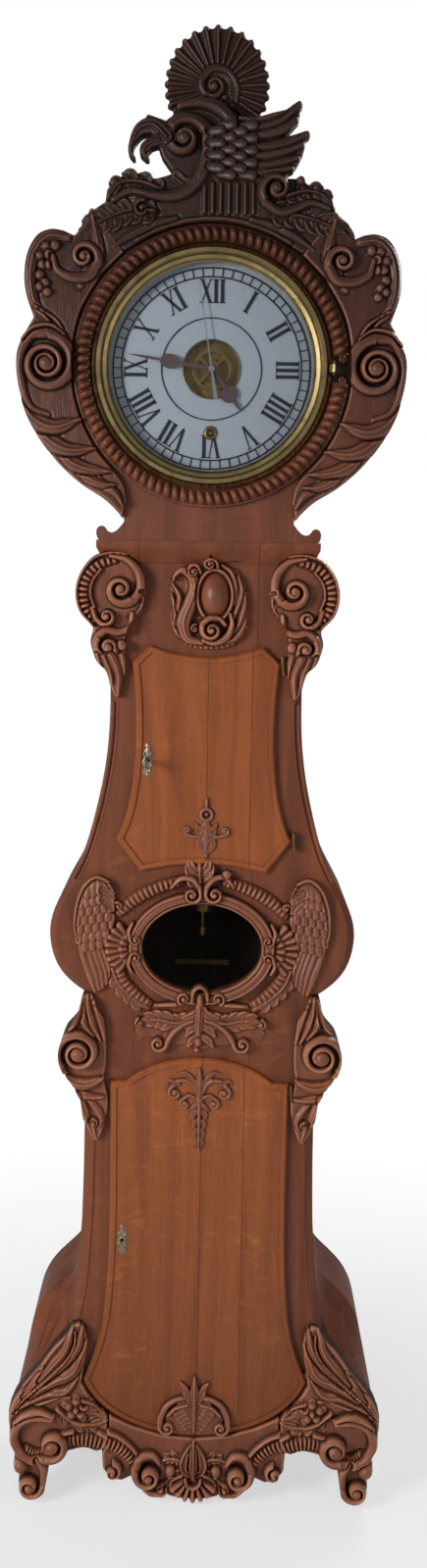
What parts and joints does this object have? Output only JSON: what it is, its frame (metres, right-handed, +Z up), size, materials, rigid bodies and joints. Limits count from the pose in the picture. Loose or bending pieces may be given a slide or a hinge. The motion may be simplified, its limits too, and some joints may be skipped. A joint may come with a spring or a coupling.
{
  "type": "longcase clock",
  "caption": "Tall carved oak longcase clock with a round glazed hood, a waisted trunk with an oval window and two doors, and a swelling base.",
  "frame": {"origin": "on the floor, under the middle of the clock's bounding box", "axes": "+Z up, the front looks along -Y, +X to the viewer's right"},
  "size_m": [0.6568, 0.3135, 2.4985],
  "materials": {
    "oak_carved": "waxed, carved",
    "oak_dark": "dark wax polish",
    "oak_case": "waxed",
    "oak_door": "waxed, quarter sawn",
    "oak_inner": "unpolished",
    "brass": "aged satin",
    "iron": "aged",
    "glass": "clear",
    "dial_enamel": "satin enamel",
    "hand_dark": "aged, pierced",
    "hand_silver": "bright",
    "plate_bronze": "dark patina"
  },
  "bodies": {
    "case": {"trunk_front": "oak_case", "trunk_side_left": "oak_case", "trunk_side_right": "oak_case", "base_side_left": "oak_case", "base_side_right": "oak_case", "back_board": "oak_inner", "knee_left": "oak_carved", "knee_right": "oak_carved", "apron": "oak_carved", "waist_cornice": "oak_dark", "movement_seat": "oak_inner", "scroll_ear_left": "oak_carved", "scroll_ear_right": "oak_carved", "cartouche": "oak_carved", "window_frame": "oak_carved", "window_glass": "glass", "window_spray": "oak_carved", "wing_left": "oak_carved", "wing_right": "oak_carved", "console_left": "oak_carved", "console_right": "oak_carved", "case_hinges": "iron", "movement_plates": "brass", "dial": "dial_enamel", "suspension_bracket": "brass", "beat_scale": "brass"},
    "hood": {"hood_front": "oak_dark", "hood_shell": "oak_dark", "gadroon_ring": "oak_dark", "hood_carving_left": "oak_dark", "hood_carving_right": "oak_dark", "crest_shell": "oak_dark", "crest_scrolls": "oak_dark"},
    "bezel": {"bezel_ring": "brass", "bezel_glass": "glass"},
    "upper_door": {"upper_door": "oak_door", "upper_door_pendant": "oak_carved", "upper_door_hinges": "iron", "upper_escutcheon": "plate_bronze", "upper_lock_case": "iron"},
    "upper_key": {"upper_key": "iron"},
    "upper_bolt": {"upper_bolt": "iron"},
    "lower_door": {"lower_door": "oak_door", "lower_door_fleur": "oak_carved", "lower_door_hinges": "iron", "lower_escutcheon": "plate_bronze", "lower_lock_case": "iron"},
    "lower_bolt": {"lower_bolt": "iron"},
    "hour": {"hour_hand": "hand_dark", "hour_wheel": "brass"},
    "minute": {"minute_hand": "hand_dark", "centre_wheel": "brass"},
    "seconds": {"seconds_hand": "hand_silver", "escape_wheel": "brass"},
    "third": {"third_wheel": "brass"},
    "intermediate": {"intermediate_wheel": "brass"},
    "barrel": {"great_wheel": "brass"},
    "motion": {"minute_wheel": "brass"},
    "pallets": {"pallets": "iron"},
    "pendulum": {"pendulum": "brass"}
  },
  "joints": [
    {"name": "hood_slide", "type": "slide", "parent": "case", "child": "hood", "axis": [0, -1, 0], "range_m": [0, 0.3]},
    {"name": "bezel_hinge", "type": "hinge", "parent": "hood", "child": "bezel", "pos_m": [0.197, -0.145, 1.966], "axis": [0, 0, 1], "range_deg": [0, 100]},
    {"name": "upper_door_hinge", "type": "hinge", "parent": "case", "child": "upper_door", "pos_m": [0.127, -0.1125, 1.486], "axis": [-0.0842, 0, 0.9965], "range_deg": [0, 105]},
    {"name": "upper_key_turn", "type": "hinge", "parent": "upper_door", "child": "upper_key", "pos_m": [-0.096, -0.11, 1.324], "axis": [0, 1, 0], "range_deg": [0, 90]},
    {"name": "upper_bolt_slide", "type": "slide", "parent": "upper_door", "child": "upper_bolt", "axis": [-1, 0, 0], "range_m": [0, 0.012]},
    {"name": "lower_door_hinge", "type": "hinge", "parent": "case", "child": "lower_door", "pos_m": [0.201, -0.1125, 0.238], "axis": [-0.0843, 0, 0.9964], "range_deg": [0, 95]},
    {"name": "lower_bolt_slide", "type": "slide", "parent": "lower_door", "child": "lower_bolt", "axis": [-1, 0, 0], "range_m": [0, 0.012]},
    {"name": "pendulum_swing", "type": "hinge", "parent": "case", "child": "pendulum", "pos_m": [0, 0.014, 2.095], "axis": [0, 1, 0], "range_deg": [-2, 2]},
    {"name": "pallets_rock", "type": "hinge", "parent": "case", "child": "pallets", "pos_m": [0, -0.045, 2.013], "axis": [0, 1, 0], "range_deg": [-3.4, 3.4]},
    {"name": "minute_turn", "type": "hinge", "parent": "case", "child": "minute", "pos_m": [0, -0.08, 1.966], "axis": [0, 1, 0], "continuous": true},
    {"name": "hour_turn", "type": "hinge", "parent": "case", "child": "hour", "pos_m": [0, -0.095, 1.966], "axis": [0, 1, 0], "continuous": true},
    {"name": "seconds_turn", "type": "hinge", "parent": "case", "child": "seconds", "pos_m": [0, -0.06, 1.966], "axis": [0, 1, 0], "continuous": true},
    {"name": "third_turn", "type": "hinge", "parent": "case", "child": "third", "pos_m": [-0.02806, -0.045, 1.9822], "axis": [0, 1, 0], "continuous": true},
    {"name": "intermediate_turn", "type": "hinge", "parent": "case", "child": "intermediate", "pos_m": [0, -0.045, 1.9165], "axis": [0, 1, 0], "continuous": true},
    {"name": "barrel_turn", "type": "hinge", "parent": "case", "child": "barrel", "pos_m": [0, -0.05, 1.864], "axis": [0, 1, 0], "continuous": true},
    {"name": "motion_turn", "type": "hinge", "parent": "case", "child": "motion", "pos_m": [0, -0.085, 1.9309], "axis": [0, 1, 0], "continuous": true}
  ],
  "couplings": [
    {"joint": "upper_bolt_slide", "follows": "upper_key_turn", "m_per_rad": 0.0076387},
    {"joint": "pallets_rock", "follows": "pendulum_swing", "ratio": 1.6833},
    {"joint": "hour_turn", "follows": "minute_turn", "ratio": 0.083333},
    {"joint": "motion_turn", "follows": "minute_turn", "ratio": -1},
    {"joint": "third_turn", "follows": "minute_turn", "ratio": -8},
    {"joint": "seconds_turn", "follows": "minute_turn", "ratio": 60},
    {"joint": "intermediate_turn", "follows": "minute_turn", "ratio": -0.16667},
    {"joint": "barrel_turn", "follows": "minute_turn", "ratio": 0.027778}
  ]
}
